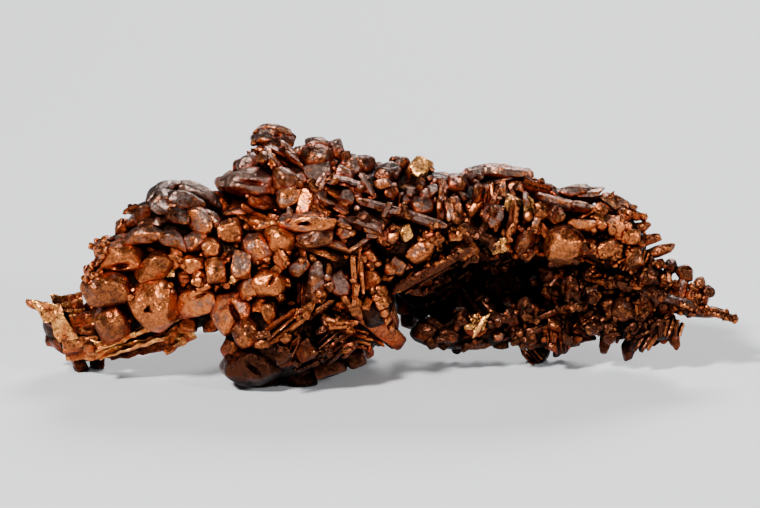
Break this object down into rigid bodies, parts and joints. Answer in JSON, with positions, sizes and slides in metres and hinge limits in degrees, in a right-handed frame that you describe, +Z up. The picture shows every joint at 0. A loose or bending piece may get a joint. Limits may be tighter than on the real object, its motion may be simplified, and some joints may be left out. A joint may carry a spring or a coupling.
{
  "type": "native copper nugget",
  "caption": "Crystallised native copper nugget: a low, branching mass of worn cubes, boulders, rods and leafy foil with a hollow under one wing.",
  "frame": {"origin": "centre of the bounding box in X and Y, on the ground that the nugget stands on", "axes": "+X along the nugget's length to its thin tail, +Z up, -Y out of the side that the picture shows"},
  "size_m": [0.1433, 0.0421, 0.0481],
  "materials": {
    "copper": "worn satin metal with a dark brown natural patina"
  },
  "bodies": {
    "root": {"native_copper": "copper"}
  },
  "joints": []
}
